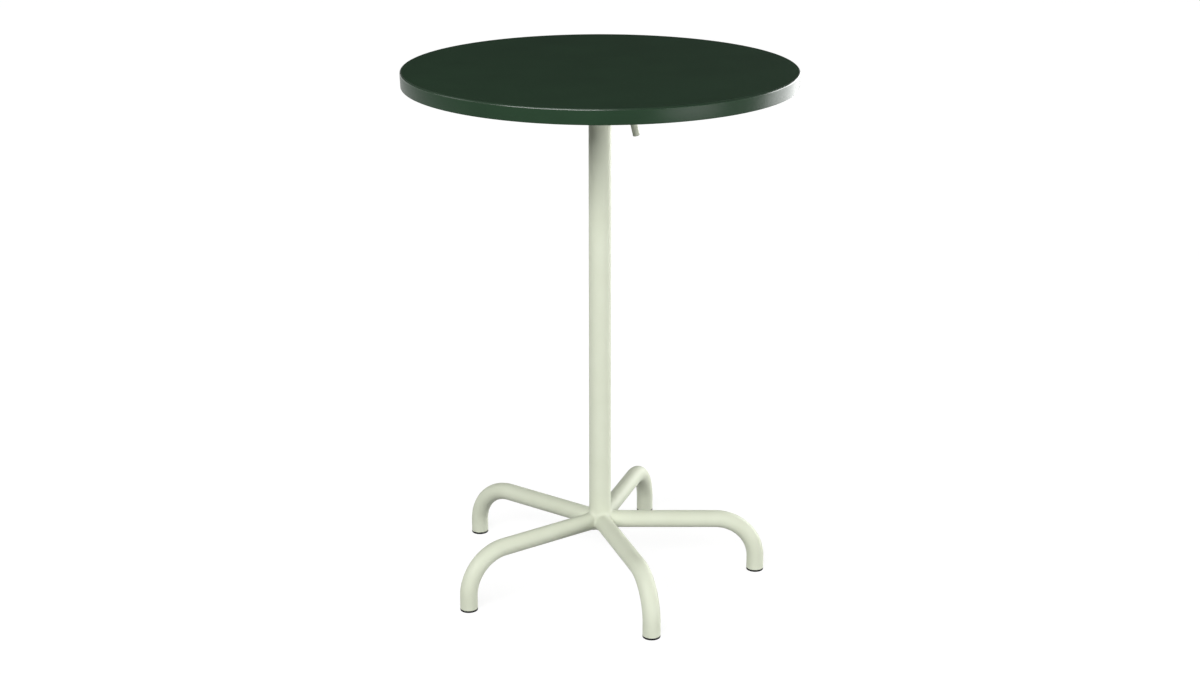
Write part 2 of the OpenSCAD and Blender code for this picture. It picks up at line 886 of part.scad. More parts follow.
// A plastic glide pushed into a leg's end: rounded foot, hollow stem and three ring barbs
module foot_glide(i) {
    edge = 0.8;
    barb_r = leg_r - leg_wall;
    stem_r = barb_r - 0.6;
    barb_len = 2;
    barbs = 3;
    color(black_plastic)
        rotate([0, 0, leg_step * (i - 1)])
            translate([foot_r, 0, 0])
                difference() {
                    union() {
                        rotate_extrude() {
                            polygon([[0, 0], [glide_d / 2 - edge, 0], [glide_d / 2 - edge, edge],
                                [glide_d / 2, edge], [glide_d / 2, glide_h], [0, glide_h]]);
                            translate([glide_d / 2 - edge, edge])
                                circle(r = edge);
                        }
                        cylinder(h = glide_h + glide_stem, r = stem_r);
                        for (k = [1:barbs])
                            translate([0, 0, glide_h + k * glide_stem / (barbs + 1)])
                                cylinder(h = barb_len, r1 = barb_r, r2 = stem_r);
                    }
                    translate([0, 0, glide_h])
                        cylinder(h = glide_stem + overlap, r = stem_r - plug_wall);
                }
}

column();
column_plug();
head_bracket();
head_gussets();
for (i = [1:leg_count]) leg(i);
for (i = [1:leg_count]) foot_glide(i);
hinge_bushes();
hinge_pin();
pin_circlips();
clamp_bolt();
clamp_spacer();
friction_discs();
clamp_washers();
dome_nut();
rest_buffers();
stop_buffers();
lever_hub();
lever_rod();
rail_front();
rail_back();
rest_strap();
stop_strap();
table_top();
threaded_inserts();
rail_screws();
screw_washers();
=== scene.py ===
import math

import bmesh
import bpy
from mathutils import Matrix, Vector


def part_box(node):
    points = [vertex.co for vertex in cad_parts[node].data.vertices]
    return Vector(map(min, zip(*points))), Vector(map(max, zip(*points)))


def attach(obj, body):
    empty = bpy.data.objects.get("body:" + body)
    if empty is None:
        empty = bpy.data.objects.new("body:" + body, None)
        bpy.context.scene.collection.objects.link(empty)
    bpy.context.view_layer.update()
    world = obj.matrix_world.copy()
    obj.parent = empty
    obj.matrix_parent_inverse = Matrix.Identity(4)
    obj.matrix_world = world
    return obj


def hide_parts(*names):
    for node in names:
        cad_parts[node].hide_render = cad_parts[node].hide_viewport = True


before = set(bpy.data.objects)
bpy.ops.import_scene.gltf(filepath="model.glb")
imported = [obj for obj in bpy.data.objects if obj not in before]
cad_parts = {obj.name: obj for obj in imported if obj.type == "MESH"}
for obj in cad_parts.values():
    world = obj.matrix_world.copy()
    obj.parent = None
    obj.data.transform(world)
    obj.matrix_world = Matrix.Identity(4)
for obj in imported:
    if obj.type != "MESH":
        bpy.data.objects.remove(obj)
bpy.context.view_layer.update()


# The painted steel of the base
# Column, legs, head bracket, lever and the rails under the top are mild steel, welded,
# blasted and powder coated in one pale green-grey polyester, baked to a satin skin.

def linear(hex_colour):
    """An sRGB hex colour as linear red, green, blue and alpha."""
    shares = [int(hex_colour[i:i + 2], 16) / 255 for i in (1, 3, 5)]
    return tuple(s / 12.92 if s <= 0.04045 else ((s + 0.055) / 1.055) ** 2.4 for s in shares) + (1.0,)


def add(tree, kind, inputs, **settings):
    """Adds a node with its settings. An input is a value, or the output that it is linked to."""
    node = tree.nodes.new(kind)
    for name, value in settings.items():
        setattr(node, name, value)
    for name, value in inputs.items():
        if isinstance(value, bpy.types.NodeSocket):
            tree.links.new(value, node.inputs[name])
        else:
            node.inputs[name].default_value = value
    return node


def new_material(name):
    """An empty node material, with its tree."""
    material = bpy.data.materials.new(name)
    material.use_nodes = True
    material.node_tree.nodes.clear()
    return material, material.node_tree


def powder_coat():
    """Polyester powder coat: a closed satin film with a faint orange peel about 2 mm across, which breaks
    up the edges of its highlights, and a very slight drift in colour and gloss from cloud to cloud."""
    material, tree = new_material("powder_coat_pale_green")
    place = add(tree, "ShaderNodeTexCoord", {}).outputs["Object"]
    cloud = add(tree, "ShaderNodeTexNoise", {
        "Vector": place, "Scale": 1 / 0.06, "Detail": 3.0, "Roughness": 0.5})
    colour = add(tree, "ShaderNodeValToRGB", {"Fac": cloud.outputs["Fac"]})
    colour.color_ramp.elements[0].position = 0.3
    colour.color_ramp.elements[0].color = linear("#D0D5C1")
    colour.color_ramp.elements[1].position = 0.7
    colour.color_ramp.elements[1].color = linear("#D4D9C6")
    gloss = add(tree, "ShaderNodeMapRange", {"Value": cloud.outputs["Fac"], "From Min": 0.3, "From Max": 0.7,
                                             "To Min": 0.42, "To Max": 0.48})
    peel = add(tree, "ShaderNodeTexNoise", {
        "Vector": place, "Scale": 1 / 0.0022, "Detail": 2.0, "Roughness": 0.45})
    skin = add(tree, "ShaderNodeBump", {"Height": peel.outputs["Fac"], "Strength": 0.3, "Distance": 0.0002})
    paint = add(tree, "ShaderNodeBsdfPrincipled", {
        "Base Color": colour.outputs["Color"], "Roughness": gloss.outputs["Result"], "IOR": 1.5,
        "Specular IOR Level": 0.15, "Normal": skin.outputs["Normal"]})
    add(tree, "ShaderNodeOutputMaterial", {"Surface": paint.outputs["BSDF"]})
    return material


PAINT = powder_coat()
SHARP = math.radians(32)


def soften(mesh):
    """Smooth shading, with a crease wherever two faces meet at more than SHARP."""
    form = bmesh.new()
    form.from_mesh(mesh)
    for face in form.faces:
        face.smooth = True
    for edge in form.edges:
        edge.smooth = edge.is_manifold and edge.calc_face_angle(0.0) < SHARP
    form.to_mesh(mesh)
    form.free()


def show(name, form, material, body, nodes):
    """Makes a piece of a bmesh: its mesh, shading, material, body and the CAD nodes that it stands for."""
    mesh = bpy.data.meshes.new(name)
    form.to_mesh(mesh)
    form.free()
    soften(mesh)
    mesh.materials.append(material)
    piece = bpy.data.objects.new(name, mesh)
    bpy.context.scene.collection.objects.link(piece)
    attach(piece, body)
    if nodes:
        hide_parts(*nodes)
    return piece


# The column
# A straight round steel tube, 46.5 mm across with a 3 mm wall, cut square at both ends. The head bracket is
# welded on its upper end and the legs are coped to its foot.

COLUMN_R = 0.02325
COLUMN_WALL = 0.003
COLUMN_Z0, COLUMN_Z1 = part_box("column")[0].z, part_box("column")[1].z


def turned(profile, steps):
    """A closed profile of radius and height, spun round the column's axis."""
    form = bmesh.new()
    points = [form.verts.new((r, 0, h)) for r, h in profile]
    outline = [form.edges.new((points[i - 1], points[i])) for i in range(len(points))]
    bmesh.ops.spin(form, geom=points + outline, cent=(0, 0, 0), axis=(0, 0, 1), angle=2 * math.pi, steps=steps,
                   use_merge=True)
    bmesh.ops.remove_doubles(form, verts=form.verts, dist=1e-6)
    bmesh.ops.dissolve_degenerate(form, edges=form.edges, dist=1e-7)
    bmesh.ops.recalc_face_normals(form, faces=form.faces)
    return form


column = turned([(COLUMN_R - COLUMN_WALL, COLUMN_Z0), (COLUMN_R, COLUMN_Z0),
                 (COLUMN_R, COLUMN_Z1), (COLUMN_R - COLUMN_WALL, COLUMN_Z1)], 96)
show("column_tube", column, PAINT, "base", ["column"])


# The five legs
# Each is one length of 36.7 mm tube with a 2.5 mm wall. It leaves the column level, is bent down through 90
# degrees on a mandrel and stands upright on its glide.

LEGS = 5
LEG_STEP = math.radians(360 / LEGS)
LEG_R = 0.01835
LEG_WALL = 0.0025
LEG_AXIS_Z = 0.1184
LEG_ROOT = 0.045
BEND_R = 0.0885
BEND_Z = LEG_AXIS_Z - BEND_R
FOOT_R = 0.337
TUBE_END_Z = 0.0045


def only(kind, geometry):
    """The vertices, or the edges, among what an operator has made."""
    return [item for item in geometry if isinstance(item, kind)]


for number in range(LEGS):
    leg = bmesh.new()
    bmesh.ops.create_circle(leg, segments=72, radius=LEG_R, cap_ends=False,
                            matrix=Matrix.Translation((FOOT_R, 0, TUBE_END_Z)))
    rise = bmesh.ops.extrude_edge_only(leg, edges=leg.edges[:])["geom"]
    bmesh.ops.translate(leg, verts=only(bmesh.types.BMVert, rise), vec=(0, 0, BEND_Z - TUBE_END_Z))
    bend = bmesh.ops.spin(leg, geom=only(bmesh.types.BMEdge, rise), cent=(FOOT_R - BEND_R, 0, BEND_Z),
                          axis=(0, -1, 0), angle=math.pi / 2, steps=36)["geom_last"]
    run = bmesh.ops.extrude_edge_only(leg, edges=only(bmesh.types.BMEdge, bend))["geom"]
    bmesh.ops.translate(leg, verts=only(bmesh.types.BMVert, run), vec=(LEG_ROOT - (FOOT_R - BEND_R), 0, 0))
    bmesh.ops.recalc_face_normals(leg, faces=leg.faces)
    bmesh.ops.solidify(leg, geom=leg.faces, thickness=LEG_WALL)
    bmesh.ops.recalc_face_normals(leg, faces=leg.faces)
    bmesh.ops.rotate(leg, verts=leg.verts, cent=(0, 0, 0), matrix=Matrix.Rotation(LEG_STEP * number, 3, "Z"))
    show(f"leg_tube_{number + 1}", leg, PAINT, "base", [f"leg_{number + 1}"])


# The welded foot of the column
# Where the legs meet the column and each other, the welds are dressed to a smooth hollow of about 6 mm before
# painting, so tube runs into tube without a bead. The piece is a skin over the joint that sinks into each
# tube at its ends, and is cut open at the column's mouth for the plug.

WELD_HOLLOW = 0.006
WELD_ON_COLUMN, WELD_ON_LEG = 0.067, 0.074
MOUTH_R, MOUTH_H, MOUTH_DEPTH = COLUMN_R - 0.0005, 0.02, 0.001


def welded(bars, lengths, fillet, voxel, lift, sink, fade):
    """A skin over round bars that meet, each given as start, direction and radius. It is laid on the bars'
    union, with a hollow of radius fillet wherever two of them meet, and lifts off the tubes by lift. It sinks
    into each bar over its last length fade and at its flat start, which stay bare. A lump of voxels is pulled
    onto that form four times, and smoothed after the first two."""
    form = bmesh.new()
    for (start, direction, radius), length in zip(bars, lengths):
        turn = Vector((0, 0, 1)).rotation_difference(direction).to_matrix().to_4x4()
        place = Matrix.Translation(start + direction * length / 2) @ turn
        bmesh.ops.create_cone(form, cap_ends=True, segments=48, radius1=radius - sink, radius2=radius - sink,
                              depth=length, matrix=place)
    mesh = bpy.data.meshes.new("joint")
    form.to_mesh(mesh)
    form.free()
    lump = bpy.data.objects.new("joint", mesh)
    bpy.context.scene.collection.objects.link(lump)
    remesh = lump.modifiers.new("voxels", "REMESH")
    remesh.mode = "VOXEL"
    remesh.voxel_size = voxel
    solid = bpy.data.meshes.new_from_object(lump.evaluated_get(bpy.context.evaluated_depsgraph_get()))
    bpy.data.objects.remove(lump)
    form = bmesh.new()
    form.from_mesh(solid)

    def height(point):
        """Height of a point above the dressed skin, and whether it lies on the cut end of a bar."""
        best, cut, hollow, offset = 1.0, False, 0.0, lift
        for (start, direction, radius), length in zip(bars, lengths):
            reach = point - start
            along = reach.dot(direction)
            beside = (reach - along * direction).length - radius
            gap = math.hypot(beside, along) if beside > 0 > along else max(beside, -along)
            hollow += max(fillet - gap, 0.0) ** 2
            if gap < best:
                best = gap
                sunk = 1.0 if -along > beside else min(max((along - length + fade) / fade, 0.0), 1.0)
                offset = lift - (lift + sink) * sunk
                cut = along > length - voxel * 0.9
        return max(fillet, best) - math.sqrt(hollow) - offset, cut

    step, longest = voxel * 0.05, voxel * 4
    for pull in range(4):
        moves = []
        for vert in form.verts:
            here, cut = height(vert.co)
            if cut:
                continue
            slope = Vector([height(vert.co + Vector(d) * step)[0] - here
                            for d in ((1, 0, 0), (0, 1, 0), (0, 0, 1))]) / step
            if slope.length_squared > 0.01:
                moves.append((vert, -here * slope / slope.length_squared))
        for vert, move in moves:
            vert.co += move if move.length < longest else move.normalized() * longest
        if pull < 2:
            bmesh.ops.smooth_vert(form, verts=[v for v, _ in moves], factor=0.5, use_axis_x=True,
                                  use_axis_y=True, use_axis_z=True)
    bmesh.ops.recalc_face_normals(form, faces=form.faces)
    return form


def joined(form, others, operation):
    """A solid joined with others, or cut by them, as one closed mesh."""
    made = []
    for part in [form] + others:
        mesh = bpy.data.meshes.new("part")
        part.to_mesh(mesh)
        part.free()
        made.append(bpy.data.objects.new("part", mesh))
        bpy.context.scene.collection.objects.link(made[-1])
    for other in made[1:]:
        join = made[0].modifiers.new("join", "BOOLEAN")
        join.operation = operation
        join.solver = "MANIFOLD"
        join.object = other
    solid = bpy.data.meshes.new_from_object(made[0].evaluated_get(bpy.context.evaluated_depsgraph_get()))
    for part in made:
        bpy.data.objects.remove(part)
    result = bmesh.new()
    result.from_mesh(solid)
    return result


foot_bars = [(Vector((0, 0, COLUMN_Z0)), Vector((0, 0, 1)), COLUMN_R)]
for number in range(LEGS):
    outward = Vector((math.cos(LEG_STEP * number), math.sin(LEG_STEP * number), 0))
    foot_bars.append((Vector((0, 0, LEG_AXIS_Z)), outward, LEG_R))
foot = welded(foot_bars, [WELD_ON_COLUMN] + [WELD_ON_LEG] * LEGS, fillet=WELD_HOLLOW, voxel=0.0014,
              lift=0.00005, sink=0.0008, fade=0.008)
mouth = bmesh.new()
bmesh.ops.create_cone(mouth, cap_ends=True, segments=96, radius1=MOUTH_R, radius2=MOUTH_R, depth=MOUTH_H,
                      matrix=Matrix.Translation((0, 0, COLUMN_Z0 + MOUTH_DEPTH - MOUTH_H / 2)))
show("column_foot_weld", joined(foot, [mouth], "DIFFERENCE"), PAINT, "base", [])


# The glides
# A black polyethylene glide is pushed into each leg: a hollow stem with ring barbs inside the tube, and a
# thin foot below it, as wide as the tube and eased at its lower edge.

def moulded_black():
    """Injection-moulded polyethylene: black, waxy and nearly matt. Its spark-eroded grain is drawn 0.6 mm
    across, coarser than it is, so that it shows."""
    material, tree = new_material("black_polyethylene")
    place = add(tree, "ShaderNodeTexCoord", {}).outputs["Object"]
    grain = add(tree, "ShaderNodeTexNoise", {"Vector": place, "Scale": 1 / 0.0006, "Detail": 2.0})
    colour = add(tree, "ShaderNodeValToRGB", {"Fac": grain.outputs["Fac"]})
    colour.color_ramp.elements[0].color = linear("#0B0B0C")
    colour.color_ramp.elements[1].color = linear("#121213")
    skin = add(tree, "ShaderNodeBump", {"Height": grain.outputs["Fac"], "Strength": 0.25, "Distance": 0.0001})
    plastic = add(tree, "ShaderNodeBsdfPrincipled", {
        "Base Color": colour.outputs["Color"], "Roughness": 0.55, "IOR": 1.51, "Specular IOR Level": 0.15,
        "Normal": skin.outputs["Normal"]})
    add(tree, "ShaderNodeOutputMaterial", {"Surface": plastic.outputs["BSDF"]})
    return material


def finish(node, material):
    """Gives a CAD node that stays its material."""
    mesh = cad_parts[node].data
    mesh.materials.clear()
    mesh.materials.append(material)


BLACK = moulded_black()
for number in range(LEGS):
    finish(f"foot_glide_{number + 1}", BLACK)


# The column plug
# A cap of the same black plastic closes the open lower end of the column. It is pressed into the tube and sits
# flush with its end.

finish("column_plug", BLACK)


# The head bracket and its gussets
# A channel folded from 4 mm sheet, welded across the column's upper end: two cheeks with the hinge and clamp
# holes, two lips for the rest buffers and a flange for the stop buffers. Two gussets brace it below.

EASE = 0.0004


def eased(node, material, body):
    """A copy of a CAD node with its sharp edges eased by a small bevel, as a tumbled and painted part has."""
    form = bmesh.new()
    form.from_mesh(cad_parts[node].data)
    bmesh.ops.remove_doubles(form, verts=form.verts, dist=1e-6)
    bmesh.ops.dissolve_limit(form, angle_limit=math.radians(0.3), use_dissolve_boundaries=False,
                             verts=form.verts, edges=form.edges, delimit={"NORMAL"})
    piece = show(f"{node}_eased", form, material, body, [node])
    bevel = piece.modifiers.new("edge", "BEVEL")
    bevel.width = EASE
    bevel.segments = 2
    bevel.limit_method = "ANGLE"
    bevel.angle_limit = math.radians(40)
    piece.modifiers.new("flats", "WEIGHTED_NORMAL").keep_sharp = True


eased("head_bracket", PAINT, "base")
eased("head_gussets", PAINT, "base")

RIPPLE = 0.0018
STEPS_A_RIPPLE = 4
BEAD_R = 0.0016
BEAD_OUT = 0.0006
BEAD_STOP = 0.001


def spaced(path):
    """Points along a line of straight runs, one at each quarter of a weld's ripple."""
    points = [Vector(path[0])]
    for start, end in zip(map(Vector, path), map(Vector, path[1:])):
        count = max(round((end - start).length / RIPPLE * STEPS_A_RIPPLE), 1)
        points += [start.lerp(end, i / count) for i in range(1, count + 1)]
    return points


def round_steps(radius):
    """The angles of the points round a circle, one at each quarter of a weld's ripple."""
    count = round(2 * math.pi * radius / RIPPLE) * STEPS_A_RIPPLE
    return [2 * math.pi * i / count for i in range(count)]


def beads(name, lines, body, closed=False):
    """Weld beads under the paint: round ropes half sunk into their corners, with a ripple every 1.8 mm."""
    curve = bpy.data.curves.new(name, "CURVE")
    curve.dimensions = "3D"
    curve.bevel_depth = BEAD_R
    curve.bevel_resolution = 3
    curve.use_fill_caps = not closed
    for points in lines:
        spline = curve.splines.new("POLY")
        spline.points.add(len(points) - 1)
        spline.use_cyclic_u = closed
        for number, place in enumerate(points):
            spline.points[number].co = (*place, 1.0)
            spline.points[number].radius = 0.94 + 0.12 * abs(math.sin(math.pi * number / STEPS_A_RIPPLE))
    rope = bpy.data.objects.new(name, curve)
    bpy.context.scene.collection.objects.link(rope)
    mesh = bpy.data.meshes.new_from_object(rope.evaluated_get(bpy.context.evaluated_depsgraph_get()))
    bpy.data.objects.remove(rope)
    form = bmesh.new()
    form.from_mesh(mesh)
    bmesh.ops.remove_doubles(form, verts=form.verts, dist=1e-7)
    bmesh.ops.recalc_face_normals(form, faces=form.faces)
    show(name, form, PAINT, body, [])


bead_z = COLUMN_Z1 - BEAD_OUT
collar_r = COLUMN_R + BEAD_OUT
collar = [Vector((collar_r * math.cos(turn), collar_r * math.sin(turn), bead_z)) for turn in round_steps(collar_r)]
beads("column_head_weld", [collar], "base", closed=True)

BACK_TIP_RISE = 0.004
GUSSET_REACH = 0.97
gusset_low, gusset_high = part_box("head_gussets")
gusset_lines = []
for side in (-1, 1):
    y = side * (gusset_high.y + BEAD_OUT)
    for tip, end in ((gusset_low.z, gusset_high.x), (gusset_low.z + BACK_TIP_RISE, gusset_low.x)):
        wall = math.copysign(collar_r, end)
        gusset_lines.append(spaced([(wall, y, tip + BEAD_STOP), (wall, y, bead_z),
                                    (end * GUSSET_REACH, y, bead_z)]))
beads("gusset_welds", gusset_lines, "base")


# The hinge
# A zinc-plated steel pin turns in two flanged nylon bushes in the cheeks. A spring-steel circlip in a groove
# near each end keeps it in the rails' lugs.

def moulded_nylon():
    """Natural polyamide 6: ivory, slightly translucent at its edges, with a soft sheen."""
    material, tree = new_material("natural_nylon")
    place = add(tree, "ShaderNodeTexCoord", {}).outputs["Object"]
    flow = add(tree, "ShaderNodeTexNoise", {"Vector": place, "Scale": 1 / 0.008, "Detail": 2.0})
    colour = add(tree, "ShaderNodeValToRGB", {"Fac": flow.outputs["Fac"]})
    colour.color_ramp.elements[0].color = linear("#E4E0D3")
    colour.color_ramp.elements[1].color = linear("#ECE9DE")
    plastic = add(tree, "ShaderNodeBsdfPrincipled", {
        "Base Color": colour.outputs["Color"], "Roughness": 0.38, "IOR": 1.53, "Subsurface Weight": 0.15,
        "Subsurface Scale": 0.001})
    add(tree, "ShaderNodeOutputMaterial", {"Surface": plastic.outputs["BSDF"]})
    return material


def zinc_plate():
    """Bright zinc plate, blue passivated: a silvery grey metal with a fine crystalline cloud and a faint cool
    and warm drift."""
    material, tree = new_material("zinc_plated_steel")
    place = add(tree, "ShaderNodeTexCoord", {}).outputs["Object"]
    bloom = add(tree, "ShaderNodeTexNoise", {"Vector": place, "Scale": 1 / 0.004, "Detail": 4.0, "Roughness": 0.6})
    colour = add(tree, "ShaderNodeValToRGB", {"Fac": bloom.outputs["Fac"]})
    colour.color_ramp.elements[0].position = 0.3
    colour.color_ramp.elements[0].color = linear("#B4BAC0")
    colour.color_ramp.elements[1].position = 0.7
    colour.color_ramp.elements[1].color = linear("#CBCAC4")
    gloss = add(tree, "ShaderNodeMapRange", {"Value": bloom.outputs["Fac"], "From Min": 0.3, "From Max": 0.7,
                                             "To Min": 0.26, "To Max": 0.38})
    metal = add(tree, "ShaderNodeBsdfPrincipled", {
        "Base Color": colour.outputs["Color"], "Metallic": 1.0, "Roughness": gloss.outputs["Result"]})
    add(tree, "ShaderNodeOutputMaterial", {"Surface": metal.outputs["BSDF"]})
    return material


NYLON = moulded_nylon()
ZINC = zinc_plate()
finish("hinge_bushes", NYLON)
finish("hinge_pin", ZINC)
finish("pin_circlips", ZINC)


# The clamp
# An M10 bolt runs through both cheeks, a distance tube, two friction discs and the washers outside the rail
# lugs. Its domed nut keeps the lever on. All of it is zinc plated.

for node in ("clamp_spacer", "friction_discs", "clamp_washers"):
    finish(node, ZINC)
eased("clamp_bolt", ZINC, "base")
eased("dome_nut", ZINC, "base")


# The buffers
# Black rubber buffers pushed into holes of the bracket: two that the level top rests on and two that stop it
# when it stands upright.

def rubber():
    """Moulded natural rubber: black-grey, matt and a little dusty."""
    material, tree = new_material("black_rubber")
    place = add(tree, "ShaderNodeTexCoord", {}).outputs["Object"]
    dust = add(tree, "ShaderNodeTexNoise", {"Vector": place, "Scale": 1 / 0.003, "Detail": 3.0})
    colour = add(tree, "ShaderNodeValToRGB", {"Fac": dust.outputs["Fac"]})
    colour.color_ramp.elements[0].color = linear("#1E1E1E")
    colour.color_ramp.elements[1].color = linear("#2B2B2A")
    skin = add(tree, "ShaderNodeBsdfPrincipled", {
        "Base Color": colour.outputs["Color"], "Roughness": 0.72, "IOR": 1.52, "Specular IOR Level": 0.35})
    add(tree, "ShaderNodeOutputMaterial", {"Surface": skin.outputs["BSDF"]})
    return material


RUBBER = rubber()
finish("rest_buffers", RUBBER)
finish("stop_buffers", RUBBER)


# The clamp lever
# A turned hub that is threaded onto the clamp bolt, with a 14 mm rod welded square to it. Rod and hub are
# painted with the base.

finish("lever_hub", PAINT)
finish("lever_rod", PAINT)

ROD_R = 0.007
ROD_LEAN = math.radians(13.2)
hub_low, hub_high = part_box("lever_hub")
hub_middle = (hub_low + hub_high) / 2
hub_r = (hub_high.x - hub_low.x) / 2
down_rod = Vector((math.sin(ROD_LEAN), 0, -math.cos(ROD_LEAN)))
across_rod = Vector((math.cos(ROD_LEAN), 0, math.sin(ROD_LEAN)))
saddle_r = ROD_R + BEAD_OUT
saddle = []
for turn in round_steps(saddle_r):
    height = math.sqrt((hub_r + BEAD_OUT) ** 2 - (saddle_r * math.sin(turn)) ** 2)
    saddle.append(hub_middle + down_rod * height + across_rod * saddle_r * math.sin(turn)
                  + Vector((0, saddle_r * math.cos(turn), 0)))
beads("lever_weld", [saddle], "lever", closed=True)


# The rails and straps under the top
# Two angles folded from 4 mm sheet carry the top, each with a round lug on the hinge pin and an open lug that
# drops over the clamp bolt. Two flat straps join them and meet the buffers.

for node in ("rail_front", "rail_back", "rest_strap", "stop_strap"):
    eased(node, PAINT, "top")

strap_lines = []
for node in ("rest_strap", "stop_strap"):
    low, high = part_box(node)
    for y in (low.y + BEAD_OUT, high.y - BEAD_OUT):
        for z in (low.z - BEAD_OUT, high.z + BEAD_OUT):
            strap_lines.append(spaced([(low.x + BEAD_STOP, y, z), (high.x - BEAD_STOP, y, z)]))
beads("strap_welds", strap_lines, "top")


# The rail screws
# Eight M6 socket screws with washers hold the rails to inserts that are moulded into the top's bosses. Screws
# and washers are zinc-plated steel, the inserts turned brass.

def turned_brass():
    """Free-cutting brass as turned: yellow, with fine tool rings of uneven gloss."""
    material, tree = new_material("turned_brass")
    place = add(tree, "ShaderNodeTexCoord", {}).outputs["Object"]
    rings = add(tree, "ShaderNodeTexWave", {"Vector": place, "Scale": 1 / 0.0012, "Distortion": 1.0},
                wave_type="BANDS", bands_direction="Z")
    gloss = add(tree, "ShaderNodeMapRange", {"Value": rings.outputs["Fac"], "To Min": 0.2, "To Max": 0.34})
    metal = add(tree, "ShaderNodeBsdfPrincipled", {
        "Base Color": linear("#C9A24D"), "Metallic": 1.0, "Roughness": gloss.outputs["Result"]})
    add(tree, "ShaderNodeOutputMaterial", {"Surface": metal.outputs["BSDF"]})
    return material


finish("threaded_inserts", turned_brass())
finish("rail_screws", ZINC)
finish("screw_washers", ZINC)


# The table top
# One glass-fibre reinforced polyester moulding, 800 mm across: a 5 mm skin with a rim turned down 30.3 mm, its
# upper edge rounded to 3.5 mm. Three rings and twelve radial ribs stiffen it below, and eight bosses take the
# rails' screws.

def moulded_polyester(name, matt, satin, specular, relief):
    """Pigmented polyester moulding: dark green right through. The tool gives the face a fine leather-like
    grain, drawn about 1 mm across so that it shows, which turns it matt, and leaves the rim smooth and satin.
    Hands and cloths have rubbed the rounded edge between them glossier, so it catches a line of light."""
    material, tree = new_material(name)
    place = add(tree, "ShaderNodeTexCoord", {}).outputs["Object"]
    cloud = add(tree, "ShaderNodeTexNoise", {"Vector": place, "Scale": 1 / 0.09, "Detail": 3.0})
    colour = add(tree, "ShaderNodeValToRGB", {"Fac": cloud.outputs["Fac"]})
    colour.color_ramp.elements[0].position = 0.3
    colour.color_ramp.elements[0].color = linear("#1D3422")
    colour.color_ramp.elements[1].position = 0.7
    colour.color_ramp.elements[1].color = linear("#203825")
    grain = add(tree, "ShaderNodeTexNoise", {
        "Vector": place, "Scale": 1 / 0.0011, "Detail": 3.0, "Roughness": 0.6})
    gloss = add(tree, "ShaderNodeMapRange", {"Value": grain.outputs["Fac"], "From Min": 0.3, "From Max": 0.7,
                                             "To Min": satin, "To Max": matt})
    skin = add(tree, "ShaderNodeBump", {"Height": grain.outputs["Fac"], "Strength": relief, "Distance": 0.00015})
    resin = add(tree, "ShaderNodeBsdfPrincipled", {
        "Base Color": colour.outputs["Color"], "Roughness": gloss.outputs["Result"], "IOR": 1.5,
        "Specular IOR Level": specular, "Normal": skin.outputs["Normal"]})
    add(tree, "ShaderNodeOutputMaterial", {"Surface": resin.outputs["BSDF"]})
    return material


TOP_R = 0.4
TOP_Z = 1.1
RIM_H = 0.0303
RIM_DRAW = 0.0011
SKIN = 0.005
RIM_WALL = 0.005
EDGE_R = 0.0035
LIP_R = 0.0008
ROOT_R = 0.006


def rounded_corner(before, corner, after, radius, steps):
    """The points of the arc that rounds a corner of a profile."""
    corner, to_a, to_b = Vector(corner), Vector(before) - Vector(corner), Vector(after) - Vector(corner)
    u, v = to_a.normalized(), to_b.normalized()
    half = u.angle(v) / 2
    centre = corner + (u + v).normalized() * radius / math.sin(half)
    first = corner + u * radius / math.tan(half) - centre
    last = corner + v * radius / math.tan(half) - centre
    sweep = math.atan2(first.x * last.y - first.y * last.x, first.dot(last))
    return [tuple(centre + Matrix.Rotation(sweep * i / steps, 2) @ first) for i in range(steps + 1)]


under = TOP_Z - SKIN
rim_foot = TOP_R - RIM_DRAW
inner_root = TOP_R - RIM_WALL - RIM_DRAW * SKIN / RIM_H
corners = [(0, TOP_Z), (TOP_R, TOP_Z), (rim_foot, TOP_Z - RIM_H), (rim_foot - RIM_WALL, TOP_Z - RIM_H),
           (inner_root, under), (0, under)]
profile = [corners[0]] + [(r, TOP_Z) for r in (0.1, 0.2, 0.3, 0.36, 0.39, 0.3955)]
for spot, radius, steps in ((1, EDGE_R, 10), (2, LIP_R, 5), (3, LIP_R, 5), (4, ROOT_R, 8)):
    profile += rounded_corner(corners[spot - 1], corners[spot], corners[spot + 1], radius, steps)
profile += [(r, under) for r in (0.385, 0.3, 0.2, 0.1)] + [corners[5]]
top = turned(profile, 256)

RIB_T, RIB_TIP, RIB_DEPTH, BURY = 0.004, 0.0028, 0.008, 0.002
RING_RADII = (0.1, 0.25, 0.37)
RADIAL_RIBS = 12
ribs = []
for ring_r in RING_RADII:
    ribs.append(turned([(ring_r - RIB_T / 2, under + BURY), (ring_r - RIB_T / 2, under),
                        (ring_r - RIB_TIP / 2, under - RIB_DEPTH), (ring_r + RIB_TIP / 2, under - RIB_DEPTH),
                        (ring_r + RIB_T / 2, under), (ring_r + RIB_T / 2, under + BURY)], 192))
for number in range(RADIAL_RIBS):
    rib = bmesh.new()
    bmesh.ops.create_cube(rib, size=1.0)
    for vert in rib.verts:
        reach = RING_RADII[0] if vert.co.x < 0 else RING_RADII[-1]
        width = RIB_T if vert.co.z > 0 else RIB_TIP
        height = under + BURY if vert.co.z > 0 else under - RIB_DEPTH
        vert.co = Vector((reach, math.copysign(width / 2, vert.co.y), height))
    bmesh.ops.rotate(rib, verts=rib.verts, cent=(0, 0, 0),
                     matrix=Matrix.Rotation(math.radians(360 / RADIAL_RIBS * (number + 0.5)), 3, "Z"))
    ribs.append(rib)

